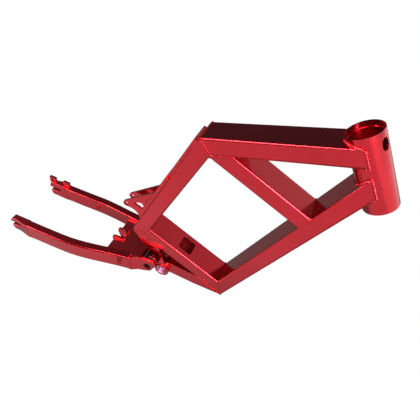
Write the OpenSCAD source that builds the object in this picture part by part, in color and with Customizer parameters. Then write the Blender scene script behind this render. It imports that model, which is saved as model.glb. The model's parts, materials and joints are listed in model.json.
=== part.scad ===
// Rear-suspension electric bike frame: box-tube main frame with a hinged swingarm.
// Origin: centre of the bottom bracket shell. +X forward, +Y to the rider's left, +Z up.

/* [Frame tubes] */
// Width of every main tube, across the frame
tube_w = 75; // [70:1:80]
// Depth of every main tube, in the side view
tube_h = 40; // [38:1:42]
// Wall thickness of the main tubes
tube_t = 3; // [2:0.5:4]

/* [Side profile] */
// Lowest point of the frame, ahead of the bottom bracket
nose = [178, -48];
// Outer length of the lower rear tube, nose to rear corner
rear_len = 314; // [306:1:320]
// Fall of the lower rear tube below horizontal
rear_angle = 34.2; // [33:0.1:35]
// Outer length of the seat tube, rear corner to top corner
seat_len = 386; // [380:1:392]
// Lean of the seat tube above horizontal
seat_angle = 58.1; // [57:0.1:59]
// Rise of the top tube towards the head
top_angle = 8.1; // [7:0.1:9]
// Rise of the down tube towards the head
down_angle = 56.5; // [56:0.1:57.5]
// Fall of the diagonal brace below horizontal
brace_angle = 32.8; // [32:0.1:34]
// Length of the battery bay along the down tube
bay_len = 328; // [320:1:334]

/* [Head tube] */
// Centre of the head tube's top face
head_top = [421, 518];
// Length of the head tube
head_len = 167; // [160:1:175]
// Outer radius of the head tube
head_r = 35.3; // [34:0.1:36]
// Bore radius of the two bearing seats
seat_bore_r = 33; // [32.5:0.1:33.4]
// Steering axis, leaning back from vertical
head_angle = 25; // [24:0.5:26]

/* [Bottom bracket and pivot] */
// Outer radius of the bottom bracket shell
shell_r = 21.5; // [21:0.1:22]
// Bore radius of the bottom bracket shell
shell_bore_r = 17.4; // [17:0.1:17.8]
// Width of the bottom bracket shell
shell_w = 100; // [96:1:106]
// Swingarm pivot in the side view
pivot = [-34, 22.7];
// Radius of the pivot axle
axle_r = 11; // [10:0.1:11.5]

/* [Shock brackets] */
// Upper shock eye bolt in the side view
shock_top = [-99.4, 199.2];
// Lower shock eye bolt in the side view
shock_low = [-160, 20];
// Clear gap between the ears of a shock bracket
shock_gap = 26; // [24:1:28]
// Thickness of the shock bracket ears
ear_t = 6; // [5:0.5:7]
// Shock bolt hole radius
shock_hole_r = 5.1; // [4.1:0.1:5.3]

/* [Swingarm] */
// Half the clear gap between the arms at the wheel axle
gap_rear = 80; // [76:0.5:82]
// Half the clear gap between the arms at the pivot
gap_front = 55.5; // [55:0.5:58]
// Width of one arm, across the bike
arm_w = 25; // [24:0.5:26]
// Depth of one arm, in the side view
arm_h = 50; // [48:1:52]
// Wall thickness of the arms
arm_t = 2.5; // [2:0.5:3]
// Width of the slot that takes the wheel axle's flats
slot_w = 12; // [10:0.5:12]

/* [Hidden] */
$fn = 64;
proud = 1;          // a cutter runs this far past the face it opens
through = 400;      // a cutter this long passes through the whole width
run = 0.05;         // radial running clearance of the pivot

paint = "#b01c2c";
bare = "#1b1b1d";
steel = "#8d8f94";

// ---- plane geometry: side-view points are [x, z] ----

function dir(a) = [cos(a), sin(a)];
function meet(p, a, q, b) = p + dir(a) * cross(q - p, dir(b)) / cross(dir(a), dir(b));
function heading(p, q) = atan2(q[1] - p[1], q[0] - p[0]);
function left_of(p, a, d) = p + d * dir(a + 90);
function blend(t) = let (u = min(1, max(0, t))) u * u * (3 - 2 * u);

// Anticlockwise outline with edge i moved inwards by walls[i]
function inset(poly, walls) = [
    for (i = [0 : len(poly) - 1])
        let (
            n = len(poly),
            h = (i + n - 1) % n,
            j = (i + 1) % n,
            a = heading(poly[h], poly[i]),
            b = heading(poly[i], poly[j])
        )
        meet(left_of(poly[i], a, walls[h]), a, left_of(poly[i], b, walls[i]), b)
];

// ---- main frame outline ----

up_rear = 180 - rear_angle;
rear_corner = nose + rear_len * dir(up_rear);
top_corner = rear_corner + seat_len * dir(seat_angle);

// Inner lines run one tube depth inside the outer outline
seat_in = left_of(rear_corner, seat_angle, -tube_h);
rear_in = left_of(nose, up_rear, -tube_h);
top_in = left_of(top_corner, top_angle, -tube_h);
down_in = left_of(nose, down_angle, tube_h);

bay_rear = meet(seat_in, seat_angle, rear_in, up_rear);
bay_low = meet(rear_in, up_rear, down_in, down_angle);
bay_front = bay_low + bay_len * dir(down_angle);
bay_top = meet(seat_in, seat_angle, bay_front, -brace_angle);
top_mitre = meet(seat_in, seat_angle, top_in, top_angle);
brace_out = left_of(bay_front, -brace_angle, tube_h);
brace_foot = meet(brace_out, -brace_angle, down_in, down_angle);
brace_head = meet(brace_out, -brace_angle, top_in, top_angle);

head_axis = [sin(head_angle), -cos(head_angle)];
head_line = head_angle - 90;
function at_head(p, a) = meet(p, a, head_top, head_line);

// The seat tube's foot stops on a seam above the rear corner
seam_side = rear_corner + [37, -1.5];
seam_low = nose + 242 * dir(up_rear);

module slab(outline, width) {
    rotate([90, 0, 0])
        linear_extrude(width, center = true)
            polygon(outline);
}

// Box tube: outline edges with a wall are closed, edges marked open run through
open = -proud;
module box_tube(outline, walls) {
    difference() {
        slab(outline, tube_w);
        slab(inset(outline, walls), tube_w - 2 * tube_t);
    }
}

module side_hole(p, r, width) {
    translate([p[0], 0, p[1]])
        rotate([90, 0, 0])
            cylinder(h = width, r = r, center = true);
}

module along_head(from_top) {
    translate([head_top[0] + from_top * head_axis[0], 0, head_top[1] + from_top * head_axis[1]])
        rotate([0, 180 - head_angle, 0])
            children();
}

seat_depth = 12;
head_bore_r = 31;    // between the bearing seats
port_down = 26.5;
port_turn = -28;
port_w = 18;
port_h = 26;

module head_tube() {
    color(paint)
    difference() {
        along_head(0) cylinder(h = head_len, r = head_r);
        along_head(-proud) cylinder(h = head_len + 2 * proud, r = head_bore_r);
        along_head(-proud) cylinder(h = seat_depth + proud, r = seat_bore_r);
        along_head(head_len - seat_depth) cylinder(h = seat_depth + proud, r = seat_bore_r);
        along_head(port_down)
            rotate([0, 0, 180 - port_turn])
                rotate([0, 90, 0])
                    translate([0, 0, seat_bore_r / 2])
                        linear_extrude(head_r)
                            for (s = [-1, 1]) {
                                translate([s * (port_h - port_w) / 2, 0]) circle(d = port_w);
                                square([port_h - port_w, port_w], center = true);
                            }
    }
}

module head_room() {
    along_head(-head_len) cylinder(h = 3 * head_len, r = head_r);
}

module top_tube() {
    color(paint)
    difference() {
        box_tube([top_corner, top_mitre, at_head(top_in, top_angle), at_head(top_corner, top_angle)],
                 [open, tube_t, open, tube_t]);
        head_room();
    }
}

module down_tube() {
    color(paint)
    difference() {
        box_tube([nose, at_head(nose, down_angle), at_head(down_in, down_angle), bay_low],
                 [tube_t, open, tube_t, open]);
        head_room();
    }
}

module seat_tube() {
    color(paint)
    box_tube([rear_corner, seam_side, bay_rear, top_mitre, top_corner],
             [open, open, tube_t, open, tube_t]);
}

module diagonal_brace() {
    color(paint)
    box_tube([bay_top, bay_front, brace_foot, brace_head, top_mitre],
             [tube_t, open, tube_t, open, open]);
}

window_size = 42;
window_round = 7;
window_at = 110;

module lower_rear_tube() {
    window_mid = bay_rear + window_at * dir(-rear_angle);
    half = window_size / 2 - window_round;
    color(paint)
    difference() {
        box_tube([seam_side, seam_low, nose, bay_low, bay_rear],
                 [open, tube_t, open, tube_t, open]);
        translate([window_mid[0], 0, window_mid[1]])
            rotate([0, rear_angle, 0])
                translate([0, 0, -2 * tube_t])
                    linear_extrude(3 * tube_t) {
                        square([window_size, 2 * half], center = true);
                        square([2 * half, window_size], center = true);
                        for (x = [-half, half], y = [-half, half])
                            translate([x, y]) circle(window_round);
                    }
    }
}

// ---- gusset, bottom bracket and pivot ----

strut_t = 4;
nose_cap = 6;        // the rail's wall on the underside of the lower rear tube
flare_y = 47;        // half width at the shell's ends
flare_low = 26;      // the flare starts this high above the shell
flare_high = 76;
flare_end = 220;
pivot_tube_r = 19;
pivot_tube_w = 121;
bush_r = 15;
bush_flange_r = 18;
bush_len = 22;

strut_front = nose + 222.5 * dir(up_rear);
rail_end = nose + 94 * dir(up_rear);
strut_back = [-49, 74.5];
strut_heel = [-30.5, 27];
strut_outline = [
    rear_corner, strut_back, strut_heel, [-12, 4], [10, 8], [12.3, 26.7], strut_front, seam_low, seam_side
];

module shell_room() {
    side_hole([0, 0], shell_r, 2 * shell_w);
}

module pivot_room() {
    side_hole(pivot, pivot_tube_r, 2 * pivot_tube_w);
}

// The strut keeps the tubes' width at its head and spreads out to the shell's ends
module strut_spread() {
    lean = heading(strut_back, strut_heel) + 90;
    rotate([0, -lean, 0])
        rotate([90, 0, 90])
            linear_extrude(through, center = true)
                polygon([
                    [-tube_w / 2, flare_end], [-tube_w / 2, flare_high], [-flare_y, flare_low],
                    [-flare_y, -flare_high], [flare_y, -flare_high],
                    [flare_y, flare_low], [tube_w / 2, flare_high], [tube_w / 2, flare_end]
                ]);
}

module gusset_strut() {
    color(paint)
    difference() {
        intersection() {
            slab(strut_outline, 3 * tube_w);
            strut_spread();
        }
        slab(inset(strut_outline,
                   [strut_t, strut_t, strut_t, strut_t, strut_t, strut_t, open, open, open]),
             tube_w - 2 * strut_t);
        shell_room();
        pivot_room();
    }
}

module gusset_rail() {
    rail = [[4, -10], [16, -14], [96, -34.5], nose, rail_end, [20.3, 25.5], [8, 22]];
    color(paint)
    difference() {
        slab(rail, tube_w);
        slab(inset(rail, [open, tube_t, tube_t, nose_cap, tube_t, open, open]), tube_w - 2 * tube_t);
        slab(strut_outline, 2 * tube_w);
        shell_room();
    }
}

module bottom_bracket_shell() {
    color(paint)
    difference() {
        side_hole([0, 0], shell_r, shell_w);
        side_hole([0, 0], shell_bore_r, 2 * shell_w);
    }
}

// Left unpainted: the lugs of the swingarm turn against its ends
module pivot_tube() {
    color(bare)
    difference() {
        side_hole(pivot, pivot_tube_r, pivot_tube_w);
        side_hole(pivot, bush_r, 2 * pivot_tube_w);
    }
}

module pivot_bush(side) {
    color(steel)
    difference() {
        translate([0, side * (pivot_tube_w - bush_len) / 2, 0]) side_hole(pivot, bush_r, bush_len);
        side_hole(pivot, axle_r + run, 2 * pivot_tube_w);
    }
}

module pivot_bush_right() { pivot_bush(-1); }
module pivot_bush_left() { pivot_bush(1); }

// ---- brackets behind the seat tube ----

base_t = 9;
base_from = 62;
base_to = 238;
back_to = 372;
back_w = 58;
back_t = 8;
plate_w = 70;

function on_seat(s, d) = left_of(rear_corner + s * dir(seat_angle), seat_angle, d);
function seat_strip(s0, s1, d) = [on_seat(s0, 0), on_seat(s1, 0), on_seat(s1, d), on_seat(s0, d)];

module seat_back_plate() {
    color(paint)
    slab(seat_strip(base_to, back_to, back_t), back_w);
}

module shock_base_plate() {
    color(paint)
    slab(seat_strip(base_from, base_to, base_t), plate_w);
}

ear_tip_r = 9.5;
bracket_top = 150;

module shock_ear(side) {
    y = side * (shock_gap + ear_t) / 2;
    color(paint)
    difference() {
        translate([0, y, 0])
            rotate([90, 0, 0])
                linear_extrude(ear_t, center = true)
                    difference() {
                        union() {
                            translate(shock_top) circle(ear_tip_r);
                            polygon([
                                left_of(shock_top, 27, ear_tip_r), shock_top + [-3.4, -8.9],
                                [-88, 188], [-79.5, 184], [-73, 178.5], [-68.4, 171], [-66, 163.5],
                                on_seat(32, 0), on_seat(60, -1),
                                on_seat(bracket_top, 0), on_seat(bracket_top, base_t)
                            ]);
                        }
                        polygon([[-75, 205.8], [-71.5, 209.6], [-60, 213.6], [-53, 213.6], [-48.6, 209.5],
                                 [-44.5, 198], [-44.2, 192.6], [-46.8, 190.6], [-50, 191]]);
                        translate([-34.6, 224.8]) circle(3.2);
                    }
        side_hole(shock_top, shock_hole_r, 2 * tube_w);
        slab(seat_strip(base_from, base_to, base_t), tube_w);
        slab(seat_strip(0, seat_len, -tube_h), tube_w);
    }
}

module shock_ear_right() { shock_ear(-1); }
module shock_ear_left() { shock_ear(1); }

// ---- swingarm ----

arm_from = -406;
arm_to = -84;
arm_steps = 18;
bend_from = -292;
bend_to = -62;
arm_foot = [-72, 24.7];
arm_fall = 0.0423;   // slope of the arm's middle line at its foot
arm_curve = 0.000194; // and its curvature, per mm

function arm_x(i) = arm_from + (arm_to - arm_from) * i / arm_steps;
function arm_in(x) = gap_rear - (gap_rear - gap_front) * blend((x - bend_from) / (bend_to - bend_from));
function arm_mid(x) = arm_foot[1] - arm_fall * (x - arm_foot[0]) + arm_curve * pow(x - arm_foot[0], 2);

// Plan and side outlines of one arm, thinned by t and run past its ends by over
function arm_ends(i, over) = arm_x(i) + (i == 0 ? -over : i == arm_steps ? over : 0);
function arm_plan(t, over) = concat(
    [for (i = [0 : arm_steps]) [arm_ends(i, over), arm_in(arm_x(i)) + t]],
    [for (i = [arm_steps : -1 : 0]) [arm_ends(i, over), arm_in(arm_x(i)) + arm_w - t]]
);
function arm_side(t, over) = concat(
    [for (i = [0 : arm_steps]) [arm_ends(i, over), arm_mid(arm_x(i)) - arm_h / 2 + t]],
    [for (i = [arm_steps : -1 : 0]) [arm_ends(i, over), arm_mid(arm_x(i)) + arm_h / 2 - t]]
);

module to_side(side) {
    mirror([0, side < 0 ? 1 : 0, 0]) children();
}

module plan_and_side(plan, side_view) {
    intersection() {
        linear_extrude(through, center = true) polygon(plan);
        slab(side_view, through);
    }
}

module arm(side) {
    color(paint)
    to_side(side)
    difference() {
        plan_and_side(arm_plan(0, 0), arm_side(0, 0));
        plan_and_side(arm_plan(arm_t, proud), arm_side(arm_t, proud));
    }
}

module arm_right() {
    difference() {
        arm(-1);
        insert_room(insert_r, [5, insert_len]);
    }
}
module arm_left() { arm(1); }

// Bent plate from the arm's full width to a flat lug beside the pivot tube
lug_in = 60.8;
lug_out = 69;
lug_fold = -64;
lug_tip = -10;

module lug(side) {
    lug_low = arm_mid(arm_to) - arm_h / 2;
    color(paint)
    to_side(side)
    difference() {
        plan_and_side(
            [
                [arm_to, arm_in(arm_to)], [lug_fold, lug_in], [lug_tip + 2, lug_in], [lug_tip + 2, lug_out],
                [lug_fold, lug_out], [arm_to, arm_in(arm_to) + arm_w]
            ],
            [
                [arm_to, lug_low], [-62, lug_low - 3], [-30, 5], [-24.5, 8.5], [-20.5, 13],
                [lug_tip, 34], [lug_tip + 1.5, 39], [lug_tip + 0.5, 43], [lug_tip - 3, 46.3],
                [-54, 51], [arm_to, lug_low + arm_h]
            ]
        );
        side_hole(pivot, axle_r, through);
    }
}

module lug_right() { lug(-1); }
module lug_left() { lug(1); }

axle_bore_r = 7.1;
axle_end = 66;

module pivot_axle() {
    color(steel)
    difference() {
        side_hole(pivot, axle_r, 2 * axle_end);
        side_hole(pivot, axle_bore_r, 4 * axle_end);
    }
}

// ---- dropouts ----

tip_x = -468;
tip_w = 18;
left_lift = 5;       // the left dropout is this much taller, for the brake
slot_end = -436;
slot_z = 70.5;
slot_run = 60;       // past the open end
slot_fall = 4;       // the open end points this far down

drop_plan = [
    [tip_x, gap_rear], [arm_from, gap_rear], [arm_from, gap_rear + arm_w],
    [arm_from - 8, gap_rear + arm_w], [tip_x + 22, gap_rear + tip_w], [tip_x, gap_rear + tip_w]
];
function drop_side(lift) = [
    [tip_x + 3, 47.5], [tip_x + 20, arm_mid(tip_x + 20) - arm_h / 2 + 1],
    [arm_from, arm_mid(arm_from) - arm_h / 2], [arm_from, arm_mid(arm_from) + arm_h / 2 + lift],
    [tip_x + 9, arm_mid(tip_x + 9) + arm_h / 2 + lift - 1.5], [tip_x, 84], [tip_x, 56]
];

module axle_slot() {
    translate([slot_end, 0, slot_z])
        rotate([90, 0, 0])
            linear_extrude(through, center = true)
                rotate(-slot_fall) {
                    circle(d = slot_w);
                    translate([-slot_run, -slot_w / 2]) square([slot_run, slot_w]);
                }
}

module dropout(side, lift) {
    color(paint)
    difference() {
        to_side(side) plan_and_side(drop_plan, drop_side(lift));
        axle_slot();
    }
}

module dropout_right() { dropout(-1, 0); }
module dropout_left() { dropout(1, left_lift); }

// ---- brake caliper tabs on the left dropout ----

tab_pitch = 51;
tab_mid = [-430.5, 101.3];
tab_slope = -9.4;
tab_len = 22;
tab_high = 13;
tab_t = 8;
tab_y = 92;
tab_hole_r = 3.2;

module brake_tab(s) {
    color(paint)
    difference() {
        translate([tab_mid[0], tab_y, tab_mid[1]])
            rotate([90, 0, 0])
                rotate(tab_slope)
                    translate([s * tab_pitch / 2, 0])
                        linear_extrude(tab_t, center = true)
                            difference() {
                                translate([-tab_len / 2, -tab_high])
                                    square([tab_len, 2 * tab_high - 5]);
                                circle(tab_hole_r);
                            }
        slab(drop_side(left_lift), through);
        slab(arm_side(0, 0), through);
    }
}

module brake_tab_rear() { brake_tab(-1); }
module brake_tab_front() { brake_tab(1); }

// ---- yoke: welded channel between the arms, open at its back for the shock bolt ----

yoke_t = 4;
yoke_top = 42;
yoke_low = 4;
yoke_front = -57;
yoke_back = -167;
pocket_front = -134;
pocket_half = shock_gap / 2;
ear_out = pocket_half + ear_t;

// Everything between the inner walls of the arms and lugs
module between_arms() {
    steps = 6;
    xs = [for (i = [0 : steps]) arm_x(arm_steps - steps + i)];
    plan = concat(
        [for (x = xs) [x, arm_in(x)]],
        [[lug_fold, lug_in], [yoke_front, lug_in]]
    );
    linear_extrude(through, center = true)
        for (s = [-1, 1]) mirror([0, s < 0 ? 1 : 0])
            polygon(concat([[xs[0], 0]], plan, [[yoke_front, 0]]));
}

module yoke_slab(outline) {
    intersection() {
        slab(outline, through);
        between_arms();
    }
}

module pocket() {
    translate([yoke_back - proud, -ear_out, yoke_low + yoke_t])
        cube([pocket_front - yoke_back + proud, 2 * ear_out, yoke_top]);
}

module yoke_top_plate() {
    color(paint)
    difference() {
        yoke_slab([[yoke_back, yoke_top - yoke_t], [yoke_front, yoke_top - yoke_t],
                   [yoke_front, yoke_top], [yoke_back, yoke_top]]);
        pocket();
    }
}

module yoke_bottom_plate() {
    color(paint)
    yoke_slab([[yoke_back, yoke_low], [yoke_front, yoke_low],
               [yoke_front, yoke_low + yoke_t], [yoke_back, yoke_low + yoke_t]]);
}

module yoke_front_plate() {
    color(paint)
    yoke_slab([[yoke_front - yoke_t, yoke_low + yoke_t], [yoke_front, yoke_low + yoke_t],
               [yoke_front, yoke_top - yoke_t], [yoke_front - yoke_t, yoke_top - yoke_t]]);
}

// The ears run down through the yoke to its bottom plate
module clevis_ear(side) {
    y = side * (pocket_half + ear_t / 2);
    color(paint)
    difference() {
        translate([0, y, 0])
            rotate([90, 0, 0])
                linear_extrude(ear_t, center = true)
                    difference() {
                        polygon([
                            [yoke_back, yoke_low + yoke_t], [pocket_front, yoke_low + yoke_t],
                            [pocket_front, 47], [pocket_front - 3, 49.5],
                            [-167, 51], [-171, 49], [-173.5, 45], [-174.5, 36]
                        ]);
                        translate(shock_low) circle(shock_hole_r);
                    }
    }
}

module clevis_ear_right() { clevis_ear(-1); }
module clevis_ear_left() { clevis_ear(1); }

module clevis_wall() {
    color(paint)
    translate([pocket_front - yoke_t, -pocket_half, yoke_low + yoke_t])
        cube([yoke_t, 2 * pocket_half, yoke_top - yoke_low - yoke_t]);
}

// ---- small threaded bosses ----

boss_bore_r = 2.5;

boss_at = [-290, 42];
boss_h = 5;

module hose_boss() {
    color(paint)
    difference() {
        translate([boss_at[0], arm_in(boss_at[0]) + proud, boss_at[1]])
            rotate([90, 0, 0])
                difference() {
                    cylinder(h = boss_h + proud, r1 = 7, r2 = 6);
                    translate([0, 0, -proud]) cylinder(h = boss_h + 3 * proud, r = boss_bore_r);
                }
        plan_and_side(arm_plan(0, 0), arm_side(0, 0));
    }
}

// Blind rivet nut in the right arm's outer wall
insert_at = [-111, 24];
insert_r = 4;
insert_len = 10;
insert_head = 1.5;

module insert_room(r, length) {
    translate([insert_at[0], -(arm_in(insert_at[0]) + arm_w), insert_at[1]])
        rotate([-90, 0, 0])
            translate([0, 0, -length[0]])
                cylinder(h = length[0] + length[1], r = r);
}

module guard_insert() {
    color(steel)
    difference() {
        union() {
            insert_room(insert_r, [0, insert_len]);
            difference() {
                insert_room(insert_r + 1.5, [insert_head, 1]);
                to_side(-1) plan_and_side(arm_plan(0, 0), arm_side(0, 0));
            }
        }
        insert_room(boss_bore_r, [insert_head + proud, insert_len + proud]);
    }
}

head_tube();
top_tube();
seat_tube();
lower_rear_tube();
down_tube();
diagonal_brace();
gusset_strut();
gusset_rail();
bottom_bracket_shell();
pivot_tube();
pivot_bush_right();
pivot_bush_left();
seat_back_plate();
shock_base_plate();
shock_ear_right();
shock_ear_left();
pivot_axle();
lug_right();
lug_left();
arm_right();
arm_left();
dropout_right();
dropout_left();
brake_tab_front();
brake_tab_rear();
yoke_top_plate();
yoke_bottom_plate();
yoke_front_plate();
clevis_ear_right();
clevis_ear_left();
clevis_wall();
hose_boss();
guard_insert();
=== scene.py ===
"""Looks of a welded electric bike frame with a hinged rear swingarm.

Each CAD node gets a finished skin with rounded edges. The weld beads, threads and finishes are added here.
"""
import json
import math

import bmesh
import bpy
from mathutils import Matrix, Vector, noise
from mathutils.bvhtree import BVHTree


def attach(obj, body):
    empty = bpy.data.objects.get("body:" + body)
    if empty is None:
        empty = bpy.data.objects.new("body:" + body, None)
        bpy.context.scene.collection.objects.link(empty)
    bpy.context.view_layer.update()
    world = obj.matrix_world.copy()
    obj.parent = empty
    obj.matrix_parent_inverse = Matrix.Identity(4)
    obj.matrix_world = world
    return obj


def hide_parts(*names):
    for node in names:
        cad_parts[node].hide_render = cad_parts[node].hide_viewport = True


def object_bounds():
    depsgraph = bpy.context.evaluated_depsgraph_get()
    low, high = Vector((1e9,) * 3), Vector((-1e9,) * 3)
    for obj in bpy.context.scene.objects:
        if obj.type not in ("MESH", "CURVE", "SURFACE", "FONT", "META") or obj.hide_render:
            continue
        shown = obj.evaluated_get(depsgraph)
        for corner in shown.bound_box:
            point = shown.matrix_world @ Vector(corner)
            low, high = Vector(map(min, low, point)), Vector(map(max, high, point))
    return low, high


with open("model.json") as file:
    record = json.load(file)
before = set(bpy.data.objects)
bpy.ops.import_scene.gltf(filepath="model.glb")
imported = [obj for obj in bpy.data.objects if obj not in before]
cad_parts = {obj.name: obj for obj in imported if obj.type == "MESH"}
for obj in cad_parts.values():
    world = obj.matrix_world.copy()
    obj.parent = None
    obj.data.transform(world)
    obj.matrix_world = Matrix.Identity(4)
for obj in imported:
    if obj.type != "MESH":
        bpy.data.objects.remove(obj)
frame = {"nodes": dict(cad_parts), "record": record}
cad_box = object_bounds()
MM = 0.001
BODY_OF = {n: b for b, ns in frame["record"]["behaviour"]["bodies"].items() for n in ns}
SLOT_OF = {s["node"]: s["material_slot"] for s in frame["record"]["subparts"]}


# ---- materials ----

class Nodes:
    """A short way to build a node material."""

    def __init__(self, name):
        self.material = bpy.data.materials.new(name)
        self.material.use_nodes = True
        self.tree = self.material.node_tree
        self.shader = self.tree.nodes["Principled BSDF"]
        self.place = self.add("ShaderNodeTexCoord").outputs["Object"]

    def add(self, kind, inputs=(), **settings):
        node = self.tree.nodes.new(kind)
        for key, value in settings.items():
            setattr(node, key, value)
        for key, value in dict(inputs).items():
            if isinstance(value, bpy.types.NodeSocket):
                self.tree.links.new(value, node.inputs[key])
            else:
                node.inputs[key].default_value = value
        return node

    def math(self, kind, operation, a, b):
        """A "Vector" math node, or a plain one for ""."""
        return self.add("ShaderNode" + kind + "Math", {0: a, 1: b}, operation=operation).outputs[0]

    def noise(self, scale, detail=3.0, stretch=None):
        place = self.place
        if stretch:
            place = self.math("Vector", "MULTIPLY", place, stretch)
        inputs = {"Vector": place, "Scale": scale, "Detail": detail}
        return self.add("ShaderNodeTexNoise", inputs).outputs["Fac"]

    def cells(self, scale):
        return self.add("ShaderNodeTexVoronoi", {"Vector": self.place, "Scale": scale}).outputs["Color"]

    def spread(self, value, low, high, start=0.3, end=0.7):
        return self.add("ShaderNodeMapRange", {"Value": value, "From Min": start, "From Max": end,
                                               "To Min": low, "To Max": high}).outputs["Result"]

    def mix(self, factor, a, b):
        return self.add("ShaderNodeMix", {0: factor, 6: a, 7: b}, data_type="RGBA").outputs[2]

    def bump(self, height, strength, depth, under=None):
        inputs = {"Height": height, "Strength": strength, "Distance": depth}
        if under is not None:
            inputs["Normal"] = under
        return self.add("ShaderNodeBump", inputs).outputs["Normal"]

    def finish(self, color, roughness, normal, **constants):
        self.tree.links.new(color, self.shader.inputs["Base Color"])
        self.tree.links.new(roughness, self.shader.inputs["Roughness"])
        self.tree.links.new(normal, self.shader.inputs["Normal"])
        for key, value in constants.items():
            self.shader.inputs[key.replace("_", " ")].default_value = value
        return self.material


def candy_red():
    """Tinted flake under a clear coat, with slight orange peel, cloudiness and handling marks."""
    n = Nodes("candy_red")
    cloud = n.spread(n.noise(11, 4), 0, 1)
    base = n.mix(cloud, (0.74, 0.006, 0.018, 1), (0.86, 0.009, 0.028, 1))
    flake = n.add("ShaderNodeSeparateColor", {"Color": n.cells(2600)}).outputs[0]
    glint = n.spread(flake, 0, 1, 0.80, 1.0)
    base = n.mix(glint, base, (0.92, 0.02, 0.05, 1))
    marks = n.spread(n.noise(90, 5, (1, 1, 3)), 0, 1, 0.62, 0.8)
    rough = n.math("", "ADD", n.spread(n.noise(26, 4), 0.19, 0.25), n.math("", "MULTIPLY", marks, 0.12))
    peel = n.bump(n.noise(420, 1), 0.04, 0.0005)
    normal = n.bump(flake, 0.006, 0.0002, peel)
    return n.finish(base, rough, normal, Metallic=1.0, Coat_Weight=0.85, Coat_Roughness=0.05)


def satin_black():
    n = Nodes("satin_black")
    base = n.mix(n.spread(n.noise(140, 5), 0, 1), (0.004, 0.004, 0.005, 1), (0.011, 0.010, 0.011, 1))
    rough = n.spread(n.noise(60, 4), 0.42, 0.58)
    return n.finish(base, rough, n.bump(n.noise(900, 2), 0.25, 0.0003), Specular_IOR_Level=0.3)


def black_oxide():
    n = Nodes("black_oxide")
    base = n.mix(n.spread(n.noise(160, 5), 0, 1), (0.035, 0.028, 0.028, 1), (0.075, 0.060, 0.058, 1))
    rings = n.noise(240, 2, (1, 9, 1))
    return n.finish(base, n.spread(rings, 0.3, 0.48), n.bump(rings, 0.2, 0.0002), Metallic=0.9)


def bronze():
    n = Nodes("sintered_bronze")
    base = n.mix(n.spread(n.noise(700, 4), 0, 1), (0.30, 0.17, 0.07, 1), (0.55, 0.36, 0.17, 1))
    rough = n.spread(n.noise(300, 3), 0.35, 0.55)
    return n.finish(base, rough, n.bump(n.noise(1500, 2), 0.4, 0.0002), Metallic=0.95)


def machined():
    """Bare machined metal under red overspray, for the bottom bracket's threads."""
    n = Nodes("oversprayed_metal")
    mist = n.spread(n.noise(75, 5), 0, 1, 0.35, 0.65)
    base = n.mix(mist, (0.86, 0.52, 0.66, 1), (0.68, 0.24, 0.38, 1))
    turned = n.noise(900, 1, (1, 6, 1))
    return n.finish(base, n.spread(turned, 0.22, 0.36), n.bump(turned, 0.15, 0.0001), Metallic=1.0)


def painted_shade_coat():
    """The thinner, darker coat on faces within the tubes, darkened further as painted shade for the shade
    that falls there.
    """
    n = Nodes("painted_shade_coat")
    base = n.mix(n.spread(n.noise(40, 5), 0, 1), (0.26, 0.008, 0.012, 1), (0.42, 0.014, 0.024, 1))
    rough = n.spread(n.noise(90, 4), 0.42, 0.6)
    return n.finish(base, rough, n.bump(n.noise(800, 2), 0.3, 0.0003), Metallic=0.7)


MATERIALS = {
    # one of these coats is the darker paint with painted shade for the tubes' interior faces
    "red_paint": candy_red(), "inside": painted_shade_coat(), "bare_black": satin_black(),
    "axle_steel": black_oxide(), "bush_bronze": bronze(), "threads": machined()
}


# ---- side-view geometry, in mm: [x, z] points as in the CAD ----

def on(angle):
    return Vector((math.cos(math.radians(angle)), math.sin(math.radians(angle))))


def meet(p, a, q, b):
    p, q, da, db = Vector(p), Vector(q), on(a), on(b)
    return p + da * ((q - p).cross(db) / da.cross(db))


def left_of(p, angle, d):
    return Vector(p) + on(angle + 90) * d


TUBE_W, TUBE_H = 75, 40
REAR, SEAT, TOP, DOWN, BRACE = 180 - 34.2, 58.1, 8.1, 56.5, -32.8
nose = Vector((178, -48))
rear_corner = nose + on(REAR) * 314
top_corner = rear_corner + on(SEAT) * 386
seat_in = left_of(rear_corner, SEAT, -TUBE_H)
rear_in = left_of(nose, REAR, -TUBE_H)
top_in = left_of(top_corner, TOP, -TUBE_H)
down_in = left_of(nose, DOWN, TUBE_H)
bay_rear = meet(seat_in, SEAT, rear_in, REAR)
bay_low = meet(rear_in, REAR, down_in, DOWN)
bay_front = bay_low + on(DOWN) * 328
bay_top = meet(seat_in, SEAT, bay_front, BRACE)
top_mitre = meet(seat_in, SEAT, top_in, TOP)
brace_out = left_of(bay_front, BRACE, TUBE_H)
brace_foot = meet(brace_out, BRACE, down_in, DOWN)
brace_head = meet(brace_out, BRACE, top_in, TOP)
seam_side = rear_corner + Vector((37, -1.5))
seam_low = nose + on(REAR) * 242
rail_end = nose + on(REAR) * 94
head_top = Vector((421, 518))
HEAD_ANGLE, HEAD_R, HEAD_CLEAR = 25, 35.3, 34.2
PIVOT, PIVOT_R, SHELL_R = Vector((-34, 22.7)), 19, 21.5
ARM_FROM, ARM_TO, ARM_W, ARM_H = -406, -84, 25, 50


def arm_in(x):
    t = min(1, max(0, (x + 292) / 230))
    return 80 - 24.5 * t * t * (3 - 2 * t)


def arm_mid(x):
    return 24.7 - 0.0423 * (x + 72) + 0.000194 * (x + 72) ** 2


def at(p, y):
    return Vector((p[0], y, p[1])) * MM


# ---- skins: the CAD node's own faces, with the edges that the real part has rounded ----

def away_from(lines, e):
    """True where an edge's middle is clear of these seams."""
    mid = (e.verts[0].co + e.verts[1].co) / 2
    p = Vector((mid.x, mid.z)) / MM
    for a, b in zip(lines, lines[1:]):
        t = max(0, min(1, (p - a).dot(b - a) / (b - a).length_squared))
        if (a + (b - a) * t - p).length < 1.5:
            return False
    return True


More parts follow.
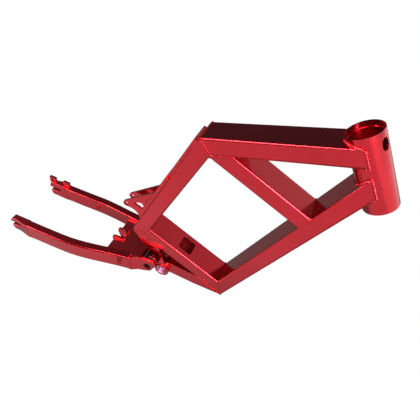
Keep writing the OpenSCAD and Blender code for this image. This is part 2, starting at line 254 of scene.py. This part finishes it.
def lengthwise(angle):
    """Edges that run along a tube on its outer sides."""
    d = on(angle)

    def pick(e):
        v = (e.verts[1].co - e.verts[0].co).normalized()
        mid = (e.verts[0].co + e.verts[1].co) / 2
        return abs(v.x * d.x + v.z * d.y) > 0.995 and abs(mid.y) > (TUBE_W / 2 - 0.3) * MM
    return pick


def along_x(e):
    v = (e.verts[1].co - e.verts[0].co).normalized()
    return abs(v.x) > 0.9


def long_side(e):
    """Long edges in the side view's plane, away from the short ones of the round cuts."""
    v = e.verts[1].co - e.verts[0].co
    return v.length > 12 * MM and abs(v.y) < 0.1 * MM


def every(e):
    return True


def nothing(e):
    return False


RAIL_SEAM = [nose, rail_end, Vector((20.3, 25.5))]

# Each row: which edges to round, radius in mm, steps, and False where the radius may not be cut down to fit
SKINS = {
    "top_tube": (lengthwise(TOP), 5.0, 5, False),
    "seat_tube": (lengthwise(SEAT), 5.0, 5, False),
    "lower_rear_tube": (lengthwise(REAR), 5.0, 5, False),
    "down_tube": (lengthwise(DOWN), 5.0, 5, False),
    "diagonal_brace": (lengthwise(BRACE), 5.0, 5, False),
    "gusset_strut": (nothing, 0, 0),
    "gusset_rail": (lambda e: long_side(e) and away_from(RAIL_SEAM, e), 2.5, 4, False),
    "head_tube": (every, 0.9, 3),
    "bottom_bracket_shell": (every, 0.8, 3),
    "pivot_tube": (every, 0.5, 2),
    "pivot_axle": (every, 0.6, 2),
    "seat_back_plate": (every, 1.6, 3),
    "shock_base_plate": (every, 1.4, 3),
    "arm_right": (along_x, 5.0, 5, False),
    "arm_left": (along_x, 5.0, 5, False),
    "lug_right": (every, 1.4, 3),
    "lug_left": (every, 1.4, 3),
    "dropout_right": (every, 1.6, 3),
    "dropout_left": (every, 1.6, 3),
    "hose_boss": (every, 0.5, 2),
    "guard_insert": (every, 0.3, 2),
}
EDGE = (every, 0.9, 3)
FEATURE_ANGLE = math.radians(36)
FLAT_ANGLE = {"gusset_strut": math.radians(8)}


def rounded(source, flat_angle, pick, radius, steps, clamp=True):
    """The node's mesh with its picked convex edges rounded, smooth below the flat angle."""
    bm = bmesh.new()
    points = [bm.verts.new(v.co) for v in source.vertices]
    for p in source.polygons:
        bm.faces.new([points[i] for i in p.vertices])
    bmesh.ops.remove_doubles(bm, verts=bm.verts, dist=2e-6)
    bmesh.ops.dissolve_degenerate(bm, edges=bm.edges, dist=1e-6)
    bmesh.ops.dissolve_limit(bm, angle_limit=0.002, verts=bm.verts, edges=bm.edges)
    bmesh.ops.recalc_face_normals(bm, faces=bm.faces)
    edges = [e for e in bm.edges if len(e.link_faces) == 2 and e.is_convex
             and e.calc_face_angle(0) > FEATURE_ANGLE and pick(e)]
    if edges:
        bmesh.ops.bevel(bm, geom=edges, offset=radius * MM, offset_type="OFFSET", segments=steps,
                        profile=0.5, affect="EDGES", clamp_overlap=clamp, miter_outer="ARC")
    for f in bm.faces:
        f.smooth = True
    for e in bm.edges:
        e.smooth = len(e.link_faces) == 2 and e.calc_face_angle(0) < flat_angle
    return bm


def piece(name, bm, body, slot, material=None):
    """A new mesh object from bm that rides on its body; material is given where it isn't the slot's."""
    mesh = bpy.data.meshes.new(name)
    bm.to_mesh(mesh)
    bm.free()
    mesh.materials.append(MATERIALS[material or slot])
    obj = bpy.data.objects.new(name, mesh)
    bpy.context.scene.collection.objects.link(obj)
    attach(obj, body)
    return obj


def shade_interiors(obj):
    """Faces that look at their own part, such as a tube's interior walls, get the darker coat with painted
    shade.
    """
    mesh = obj.data
    mesh.materials.append(MATERIALS["inside"])
    tree = BVHTree.FromPolygons([v.co for v in mesh.vertices],
                                [p.vertices[:] for p in mesh.polygons])
    for p in mesh.polygons:
        start = Vector(p.center) + p.normal * 0.02 * MM
        if tree.ray_cast(start, p.normal)[0] is not None:
            p.material_index = 1


def skin(node):
    """The finished piece that stands for a CAD node."""
    source = frame["nodes"][node]
    painted = "red_paint" if node == "guard_insert" else None
    bm = rounded(source.data, FLAT_ANGLE.get(node, FEATURE_ANGLE), *SKINS.get(node, EDGE))
    obj = piece(node + "_skin", bm, BODY_OF[node], SLOT_OF[node], painted)
    # interior faces of painted parts get the darker coat with painted shade; the head tube's bore keeps the
    # plain paint
    if SLOT_OF[node] == "red_paint" and node != "head_tube":
        shade_interiors(obj)
    weighted = obj.modifiers.new("flat_faces", "WEIGHTED_NORMAL")
    weighted.keep_sharp = True
    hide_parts(node)


for node in sorted(frame["nodes"]):
    skin(node)


# ---- weld beads: rippled half-round beads laid along the seams ----

RIPPLE = 3.4
AROUND = 10
SUNK = 0.35         # how far a bead goes below its seam, as a share of its height


def resample(points, step):
    """The polyline at even steps, with each point's direction."""
    out, carry = [], 0.0
    for a, b in zip(points, points[1:]):
        length = (b[0] - a[0]).length
        while carry < length:
            t = carry / length
            out.append((a[0].lerp(b[0], t), a[1].lerp(b[1], t)))
            carry += step
        carry -= length
    out.append(points[-1])
    return out


def bead(bm, points, width, height, ripple=RIPPLE, depth=0.30, step=0.62):
    """One bead. Points are (place, outward direction), in metres."""
    path = resample(points, step * MM)
    rings = []
    for i, (p, up) in enumerate(path):
        before, after = path[max(0, i - 2)][0], path[min(len(path) - 1, i + 2)][0]
        tangent = (after - before).normalized()
        side = tangent.cross(up).normalized()
        up = side.cross(tangent).normalized()
        wander = 1 + 0.12 * noise.noise(p * 130)
        taper = min(1, 0.35 + 0.25 * min(i, len(path) - 1 - i))
        ring = []
        for k in range(AROUND):
            a = 2 * math.pi * k / AROUND
            phase = i * step / ripple - 0.4 * math.cos(a) ** 2
            lift = (1 - depth + depth * abs(math.sin(math.pi * phase))) * wander * taper
            rise = math.sin(a) * (1 if math.sin(a) > 0 else SUNK)
            ring.append(bm.verts.new(p + side * (math.cos(a) * width / 2 * MM * (0.55 + 0.45 * lift))
                                     + up * (rise * height * MM * lift)))
        rings.append(ring)
    for a, b in zip(rings, rings[1:]):
        for k in range(AROUND):
            bm.faces.new((a[k], a[(k + 1) % AROUND], b[(k + 1) % AROUND], b[k]))
    bm.faces.new(rings[0][::-1])
    bm.faces.new(rings[-1])


def weld(name, body, beads, width, height, ripple=RIPPLE, depth=0.30):
    bm = bmesh.new()
    for points in beads:
        bead(bm, points, width, height, ripple, depth)
    if name.startswith("weld_head"):
        clear_bore(bm)
    bmesh.ops.recalc_face_normals(bm, faces=bm.faces)
    for f in bm.faces:
        f.smooth = True
    return piece(name, bm, body, "red_paint")


def clear_bore(bm):
    """Push a bead on the head tube out of the tube's bore."""
    top = at(head_top, 0)
    for v in bm.verts:
        out = (v.co - top) - HEAD_AXIS * (v.co - top).dot(HEAD_AXIS)
        if out.length < HEAD_CLEAR * MM:
            v.co += out.normalized() * (HEAD_CLEAR * MM - out.length)


def on_sides(points, y=TUBE_W / 2):
    """The same seam on both sides of the frame."""
    return [[(at(p, s * y), Vector((0, s, 0))) for p in points] for s in (-1, 1)]


def across(p, outward, half=TUBE_W / 2 - 3):
    """A seam straight across the frame at a side-view point."""
    up = Vector((outward[0], 0, outward[1])).normalized()
    return [[(at(p, -half), up), (at(p, half), up)]]


def arc(center, r, start, end, y, steps=24):
    """A seam round a cross tube, on one side of the frame."""
    out = []
    for i in range(steps + 1):
        d = on(start + (end - start) * i / steps)
        out.append((at(center + d * r, y), Vector((d.x, math.copysign(1, y), d.y)).normalized()))
    return out


def arcs(center, r, start, end, y):
    return [arc(center, r, start, end, s * y) for s in (-1, 1)]


down_head = on(HEAD_ANGLE - 90)
HEAD_AXIS = Vector((down_head.x, 0, down_head.y))
HEAD_BACK = Vector((down_head.y, 0, -down_head.x))


def saddle(p, angle, reach=84, steps=40):
    """Where a tube's flat face, through p at this angle, meets the head tube."""
    n = on(angle + 90)
    face = Vector((n.x, 0, n.y))
    top = Vector((head_top.x, 0, head_top.y))
    through = Vector((p[0], 0, p[1]))
    out = []
    for i in range(steps + 1):
        a = math.radians(-reach + 2 * reach * i / steps)
        radial = HEAD_BACK * math.cos(a) + Vector((0, math.sin(a), 0))
        q = top + radial * HEAD_R
        q += HEAD_AXIS * ((through - q).dot(face) / HEAD_AXIS.dot(face))
        out.append((q * MM, (radial + face * (1 if angle > 0 else -1)).normalized()))
    return out


def saddle_ends(p, angle, count=8):
    """The two ends of a saddle, where the bead is heaviest."""
    points = saddle(p, angle)
    return [points[:count], points[-count:]]


def head_lines(p, q, angle):
    """The side seams where a tube's two sides end on the head tube's middle line."""
    ends = [meet(p, angle, head_top, HEAD_ANGLE - 90), meet(q, angle, head_top, HEAD_ANGLE - 90)]
    return on_sides(ends, 36.4)


weld("weld_head_top_tube", "frame",
     head_lines(top_corner, top_in, TOP) + [saddle(top_corner, TOP)], 7.5, 3.4, 4.2, 0.5)
weld("weld_head_top_tube_ends", "frame", saddle_ends(top_corner, TOP), 12.0, 4.6, 5.0, 0.45)
weld("weld_head_top_tube_under", "frame", [saddle(top_in, TOP)], 5.5, 2.0)
weld("weld_head_down_tube", "frame",
     head_lines(nose, down_in, DOWN) + [saddle(down_in, DOWN)], 7.5, 3.4, 4.2, 0.5)
weld("weld_head_down_tube_ends", "frame", saddle_ends(down_in, DOWN), 11.0, 4.2, 5.0, 0.45)
weld("weld_head_down_tube_under", "frame", [saddle(nose, DOWN)], 5.5, 2.0)

weld("weld_top_corner", "frame",
     on_sides([top_corner, top_mitre]) + across(top_corner, (-1, 1.4)), 4.6, 0.9)
weld("weld_brace_head", "frame",
     on_sides([top_mitre, brace_head]) + across(brace_head, (1, -0.4)), 6.0, 1.7)
weld("weld_brace_seat", "frame",
     on_sides([top_mitre, bay_top]) + across(bay_top, (0.2, -1)), 5.0, 1.1)
weld("weld_brace_foot", "frame",
     on_sides([bay_front, brace_foot])
     + across(brace_foot, (-0.1, 1)) + across(bay_front, (-1, -0.6)), 5.0, 1.2)
weld("weld_rear_corner", "frame",
     on_sides([rear_corner, seam_side, bay_rear]), 4.6, 0.9)
weld("weld_rear_corner_inside", "frame", across(bay_rear, (1, 0.4)), 7.0, 2.6)
weld("weld_strut_head", "frame",
     on_sides([seam_side, seam_low]) + across(seam_low, (0.4, -1)), 4.6, 0.9)
weld("weld_nose", "frame",
     on_sides([bay_low, nose]) + across(bay_low, (0, 1)) + across(nose, (0.3, -1), 30), 4.6, 0.9)

dip = [rail_end.lerp(bay_low, i / 12) + Vector((4, -9)) * math.sin(math.pi * i / 12) for i in range(13)]
weld("weld_nose_plate", "frame", on_sides(dip), 4.0, 0.7)
weld("weld_rail_side", "frame", on_sides([rail_end, Vector((20.3, 25.5))]), 4.0, 0.8)
weld("weld_shell_strut", "frame", arcs(Vector((0, 0)), SHELL_R, 60, 146, 47.3), 4.4, 1.3)
weld("weld_shell_rail", "frame", arcs(Vector((0, 0)), SHELL_R, -40, 57, 37.6), 4.0, 1.1)
weld("weld_pivot_strut", "frame", arcs(PIVOT, PIVOT_R, -30, 95, 47.3), 3.6, 1.0)


def on_seat(s, d):
    return left_of(rear_corner + on(SEAT) * s, SEAT, d)


def along_seat(start, end, d, half):
    """Two seams up the seat tube's rear face, d from it."""
    back = on(SEAT + 90)
    return [[(at(on_seat(s, d), y), Vector((back.x, math.copysign(1, y), back.y)).normalized())
             for s in (start, end)] for y in (-half, half)]


weld("weld_back_plate", "frame", along_seat(242, 368, 1, 29.5), 4.0, 1.2)
weld("weld_back_plate_top", "frame", across(on_seat(372.5, 1), on(SEAT + 60), 27), 4.0, 1.2)
weld("weld_base_plate", "frame", along_seat(66, 234, 1, 35), 3.4, 1.0)
weld("weld_shock_ears", "frame", along_seat(70, 148, 9.4, 19.6), 4.6, 1.7)


# ---- swingarm beads ----

def both(points_of):
    """A seam on each arm, from a function of the side."""
    return [points_of(s) for s in (-1, 1)]


def arm_ring(x, lean):
    """A seam round one arm's four sides; the outer and inner sides slope by lean."""
    inner, low = arm_in(x), arm_mid(x) - ARM_H / 2

    def ring(s):
        corner, out = 4.0, []
        for cy, cz, a0 in ((ARM_W - corner, corner, -90), (ARM_W - corner, ARM_H - corner, 0),
                           (corner, ARM_H - corner, 90), (corner, corner, 180)):
            for i in range(5):
                d = on(a0 + 22.5 * i)
                y, z = inner + cy + d.x * corner, low + cz + d.y * corner
                tilt = lean * (z - low - ARM_H / 2) / ARM_H
                out.append((Vector((x + tilt, s * y, z)) * MM, Vector((0, s * d.x, d.y))))
        return out + out[:1]
    return ring


weld("weld_lugs", "swingarm", both(arm_ring(ARM_TO, 0)), 4.6, 1.0)
weld("weld_dropouts", "swingarm", both(arm_ring(ARM_FROM, -16)), 4.6, 1.0)
YOKE_BACK, YOKE_FRONT, YOKE_TOP, YOKE_LOW = -167, -66, 42, 4


def yoke_side(z, up):
    return both(lambda s: [(at((x, z), s * (arm_in(x) - 0.8)), Vector((0, -s * 0.6, up)).normalized())
                           for x in range(YOKE_BACK + 3, YOKE_FRONT + 1, 7)])


weld("weld_yoke_top", "swingarm", yoke_side(YOKE_TOP + 0.4, 1), 6.0, 2.2)
weld("weld_yoke_low", "swingarm", yoke_side(YOKE_LOW - 0.2, -1), 5.0, 1.6)
weld("weld_clevis", "swingarm",
     both(lambda s: [(at((x, YOKE_TOP + 0.3), s * 19.4), Vector((0, s, 1)).normalized())
                     for x in (-165, -135)])
     + across((-133.6, YOKE_TOP + 0.2), (1, 1), 17), 4.4, 1.6)


TAB_MID, TAB_SLOPE, TAB_PITCH, TAB_Y = Vector((-430.5, 101.3)), -9.4, 51, 92


def tab_seam(s):
    """Along both faces of one brake tab's foot."""
    d = on(TAB_SLOPE)
    foot = TAB_MID + d * s * TAB_PITCH / 2 - on(TAB_SLOPE + 90) * 4.6
    out = []
    for way in (1, -1):
        y, face = TAB_Y - way * 4.4, Vector((0, -way, 0.6)).normalized()
        out.append([(at(foot - d * 10 * way, y), face), (at(foot + d * 10 * way, y), face)])
    return out


weld("weld_brake_tabs", "swingarm", tab_seam(-1) + tab_seam(1), 4.0, 1.5)


BOSS_X, BOSS_Z, BOSS_R = -290, 42, 7.2


def boss_seam():
    """Round the hose boss on the left arm's inner face."""
    out = []
    for i in range(25):
        d = on(15 * i)
        x = BOSS_X + d.x * BOSS_R
        out.append((at((x, BOSS_Z + d.y * BOSS_R), arm_in(x) - 0.2), Vector((d.x, -1, d.y)).normalized()))
    return out


weld("weld_hose_boss", "swingarm", [boss_seam()], 2.6, 1.0)


# ---- threads in the bottom bracket shell ----

def revolve(name, profile, center, body, slot, material, segments=96):
    """A ring about a line across the frame; the profile is [radius, y] points, closed."""
    bm = bmesh.new()
    rings = []
    for i in range(segments):
        d = on(360 * i / segments)
        rings.append([bm.verts.new(at(center + d * r, y)) for r, y in profile])
    for i in range(segments):
        a, b = rings[i], rings[(i + 1) % segments]
        for k in range(len(profile)):
            j = (k + 1) % len(profile)
            bm.faces.new((a[k], a[j], b[j], b[k]))
    bmesh.ops.recalc_face_normals(bm, faces=bm.faces)
    for f in bm.faces:
        f.smooth = True
    for e in bm.edges:
        e.smooth = e.calc_face_angle(0) < FEATURE_ANGLE
    return piece(name, bm, body, slot, material)


SHELL_BORE, THREAD_PITCH, THREAD_DEPTH, THREADS, THREAD_START = 17.38, 1.06, 0.6, 26, 49.2


def threads(side):
    """The thread in one end of the bottom bracket shell."""
    start, profile = THREAD_START, []
    for i in range(THREADS):
        y = start - i * THREAD_PITCH
        profile += [[SHELL_BORE - 0.05, side * y],
                    [SHELL_BORE - THREAD_DEPTH, side * (y - THREAD_PITCH / 2)]]
    end = start - THREADS * THREAD_PITCH
    profile += [[SHELL_BORE - 0.05, side * end], [SHELL_BORE, side * end], [SHELL_BORE, side * start]]
    name = "shell_threads_right" if side < 0 else "shell_threads_left"
    revolve(name, profile, Vector((0, 0)), "frame", "red_paint", "threads")


threads(-1)
threads(1)


# ---- stage, light and camera ----

def seen_white(tree, hidden):
    """White to a direct look, for the stage only; what the object reflects has the hidden strength."""
    path = tree.nodes.new("ShaderNodeLightPath").outputs["Is Camera Ray"]
    pick = tree.nodes.new("ShaderNodeMix")
    tree.links.new(path, pick.inputs[0])
    tree.links.new(hidden, pick.inputs[2])
    pick.inputs[3].default_value = 1.0     # plain white
    return pick.outputs[0]


def ranged(tree, value, start, end, low, high):
    node = tree.nodes.new("ShaderNodeMapRange")
    tree.links.new(value, node.inputs["Value"])
    for key, number in (("From Min", start), ("From Max", end), ("To Min", low), ("To Max", high)):
        node.inputs[key].default_value = number
    return node.outputs["Result"]


def floor_material():
    """A pale glowing floor, brighter in front and to the right than behind."""
    material = bpy.data.materials.new("pale_floor")
    material.use_nodes = True
    tree = material.node_tree
    tree.nodes.remove(tree.nodes["Principled BSDF"])
    place = tree.nodes.new("ShaderNodeTexCoord").outputs["Object"]
    split = tree.nodes.new("ShaderNodeSeparateXYZ")
    tree.links.new(place, split.inputs[0])
    front = ranged(tree, split.outputs["Y"], -0.62, -0.08, FRONT_LIGHT, BEHIND_LIGHT)
    side = ranged(tree, split.outputs["X"], 1.55, 2.5, 0.0, RIGHT_LIGHT)
    most = tree.nodes.new("ShaderNodeMath")
    most.operation = "MAXIMUM"
    tree.links.new(front, most.inputs[0])
    tree.links.new(side, most.inputs[1])
    glow = tree.nodes.new("ShaderNodeEmission")
    tree.links.new(seen_white(tree, most.outputs[0]), glow.inputs["Strength"])
    tree.links.new(glow.outputs[0], tree.nodes["Material Output"].inputs["Surface"])
    return material


def stage_plane(name, size, place, material):
    bm = bmesh.new()
    bmesh.ops.create_grid(bm, x_segments=1, y_segments=1, size=size / 2)
    mesh = bpy.data.meshes.new(name)
    bm.to_mesh(mesh)
    bm.free()
    mesh.materials.append(material)
    obj = bpy.data.objects.new(name, mesh)
    obj.location = place
    bpy.context.scene.collection.objects.link(obj)


FRONT_LIGHT, BEHIND_LIGHT, RIGHT_LIGHT = 0.62, 0.15, 0.9
CEILING, LEFT_SKY = 0.05, 0.35
FLOOR_DROP, FLOOR_SIZE = 0.45, 60
stage_plane("floor", FLOOR_SIZE, (0, 0, cad_box[0][2] - FLOOR_DROP), floor_material())


def area_light(name, place, target, size, power, size_y=None):
    data = bpy.data.lights.new(name, "AREA")
    data.energy = power
    data.size = size
    if size_y:
        data.shape = "RECTANGLE"
        data.size_y = size_y
    obj = bpy.data.objects.new(name, data)
    obj.location = place
    obj.rotation_euler = (Vector(target) - Vector(place)).to_track_quat("-Z", "Y").to_euler()
    bpy.context.scene.collection.objects.link(obj)


MIDDLE = (0.0, 0.0, 0.2)
area_light("right_softbox", (1.30, 1.70, 1.25), MIDDLE, 1.7, 3.4)
area_light("front_strip", (0.02, -0.78, 1.22), (0.15, 0, 0.45), 1.0, 11, size_y=0.42)
area_light("left_softbox", (-0.88, -0.54, 0.62), (-0.3, 0, 0.03), 0.45, 3.2)
area_light("front_right_softbox", (0.92, -0.66, 0.82), (0.25, 0, 0.25), 0.6, 12)

world = bpy.data.worlds.new("studio")
bpy.context.scene.world = world
world.use_nodes = True
sky = world.node_tree
direction = sky.nodes.new("ShaderNodeTexCoord").outputs["Generated"]
toward = sky.nodes.new("ShaderNodeSeparateXYZ")
sky.links.new(direction, toward.inputs[0])
left = ranged(sky, toward.outputs["X"], -0.75, -0.3, LEFT_SKY, 0.0)
height = sky.nodes.new("ShaderNodeVectorMath")
height.operation = "DOT_PRODUCT"
height.inputs[1].default_value = (0.15, 0.0, 1.0)
sky.links.new(direction, height.inputs[0])
above = ranged(sky, height.outputs["Value"], 0.49, 0.60, 0.0, 1.0)
glow = sky.nodes.new("ShaderNodeMath")
glow.operation = "MULTIPLY_ADD"
sky.links.new(left, glow.inputs[0])
sky.links.new(above, glow.inputs[1])
glow.inputs[2].default_value = CEILING
sky.links.new(seen_white(sky, glow.outputs[0]), sky.nodes["Background"].inputs["Strength"])
sky.nodes["Background"].inputs["Color"].default_value = (1, 1, 1, 1)
bpy.context.scene.view_settings.view_transform = "Standard"

camera_data = bpy.data.cameras.new("camera")
camera_data.sensor_width = 36
camera_data.lens = 31.97
camera = bpy.data.objects.new("camera", camera_data)
right = Vector((0.93286, 0.36024, 0.0))
up = Vector((-0.24145, 0.62523, 0.74215))
turn = Matrix((right, up, right.cross(up))).transposed().to_4x4()
camera.matrix_world = Matrix.Translation((0.3771, -0.6362, 0.8501)) @ turn
bpy.context.scene.collection.objects.link(camera)
bpy.context.scene.camera = camera
